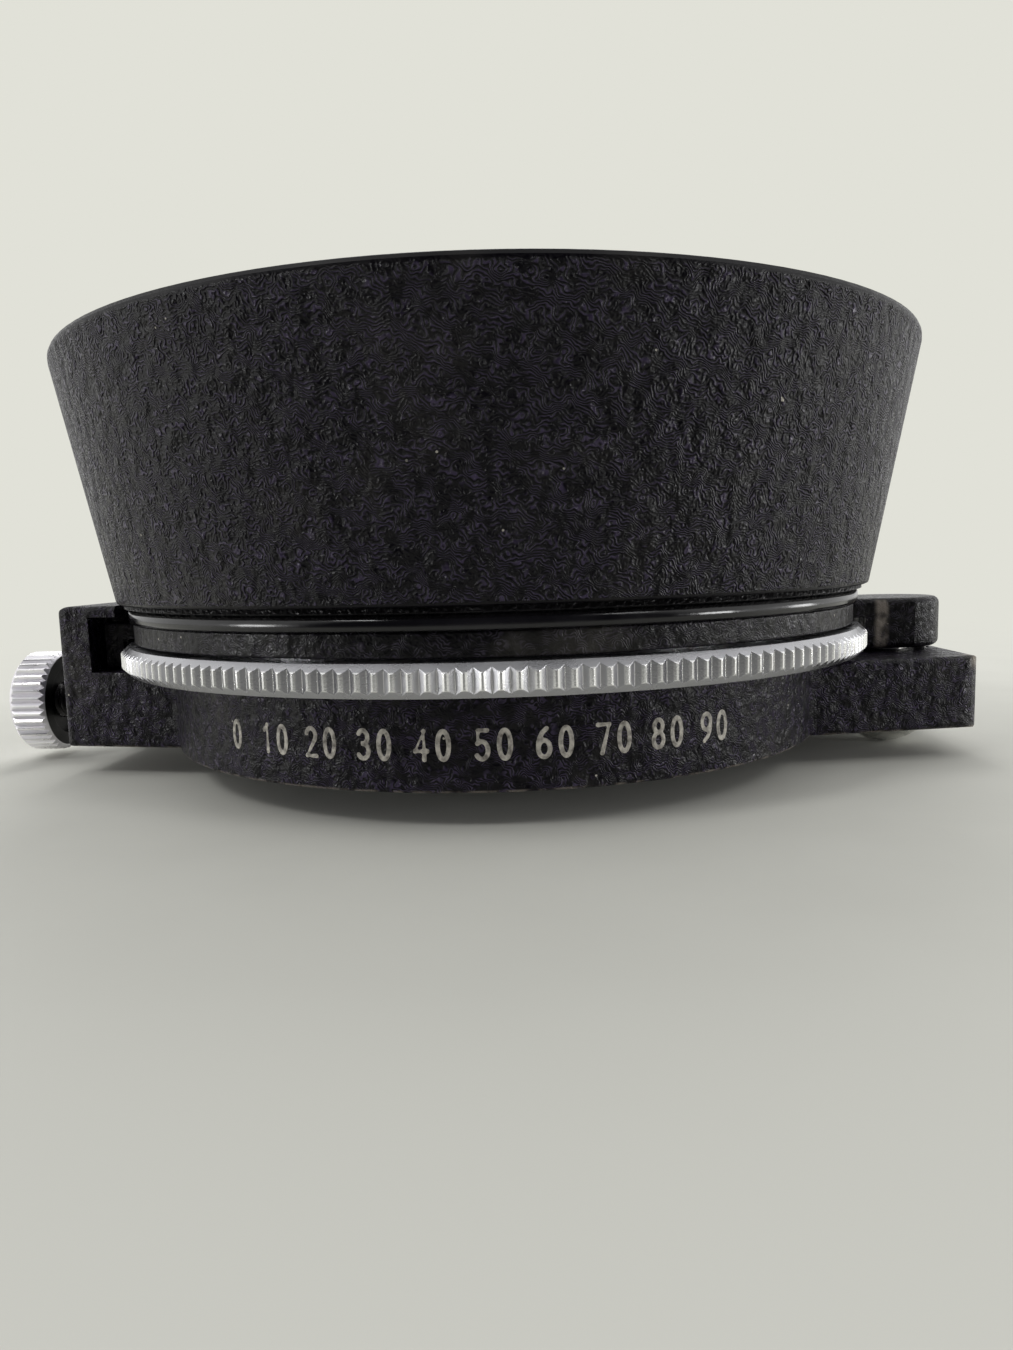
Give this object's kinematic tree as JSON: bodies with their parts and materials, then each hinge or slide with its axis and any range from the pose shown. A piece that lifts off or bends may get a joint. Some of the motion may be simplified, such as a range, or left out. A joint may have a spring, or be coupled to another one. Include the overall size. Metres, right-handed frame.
{
  "type": "swing-out polarising lens hood",
  "caption": "Conical lens hood on a ring that swings aside about a pin; a knurled ring turns its polarising filter, and a side screw clamps it to a lens rim.",
  "frame": {"origin": "centre of the clamp ring's lens-side face, on the optical axis", "axes": "+Z along the optical axis to the hood's mouth, +X to the hinge, -X to the clamp knob, -Y to the front"},
  "size_m": [0.0775, 0.0652, 0.0306],
  "materials": {
    "crinkle_enamel": "crinkle",
    "matte_black": "matte",
    "gloss_black": "gloss",
    "satin_chrome": "satin",
    "steel": "brushed",
    "liner_fibre": "matte",
    "filter_glass": "polished",
    "polarizer_film": "smooth"
  },
  "bodies": {
    "base": {"base_ring": "crinkle_enamel", "lens_liner": "liner_fibre", "click_plug": "steel", "click_spring": "steel"},
    "shoe": {"clamp_shoe": "liner_fibre"},
    "screw": {"clamp_screw": "steel", "clamp_knob": "satin_chrome"},
    "ball": {"click_ball": "steel"},
    "carrier": {"swing_ring": "matte_black", "pivot_screw": "satin_chrome", "pivot_washer": "steel", "pivot_spring_washer": "steel", "hood_neck": "gloss_black", "neck_screws": "steel", "hood_shell": "crinkle_enamel", "hood_nut": "matte_black", "wave_spring": "steel"},
    "filter": {"knurled_ring": "satin_chrome", "ring_keeper": "matte_black", "keeper_screws": "steel", "rear_glass": "filter_glass", "polarizing_film": "polarizer_film", "front_glass": "filter_glass", "glass_retainer": "matte_black"}
  },
  "joints": [
    {"name": "swing_hinge", "type": "hinge", "parent": "base", "child": "carrier", "pos_m": [0.0323, 0, 0.00575], "axis": [0, 0, 1], "range_deg": [0, 180]},
    {"name": "filter_turn", "type": "hinge", "parent": "carrier", "child": "filter", "pos_m": [0, 0, 0.00708], "axis": [0, 0, 1], "continuous": true},
    {"name": "shoe_slide", "type": "slide", "parent": "base", "child": "shoe", "axis": [1, 0, 0], "range_m": [-0.001, 0.0015]},
    {"name": "knob_turn", "type": "hinge", "parent": "shoe", "child": "screw", "pos_m": [-0.03, 0, 0.0026], "axis": [1, 0, 0], "range_deg": [-720, 1080]},
    {"name": "click_slide", "type": "slide", "parent": "base", "child": "ball", "axis": [0, 0, 1], "range_m": [-0.0003, 0.00015], "stiffness_N_per_m": 60, "deforming": ["click_spring"]}
  ],
  "couplings": [
    {"joint": "knob_turn", "follows": "shoe_slide", "rad_per_m": 12566}
  ]
}
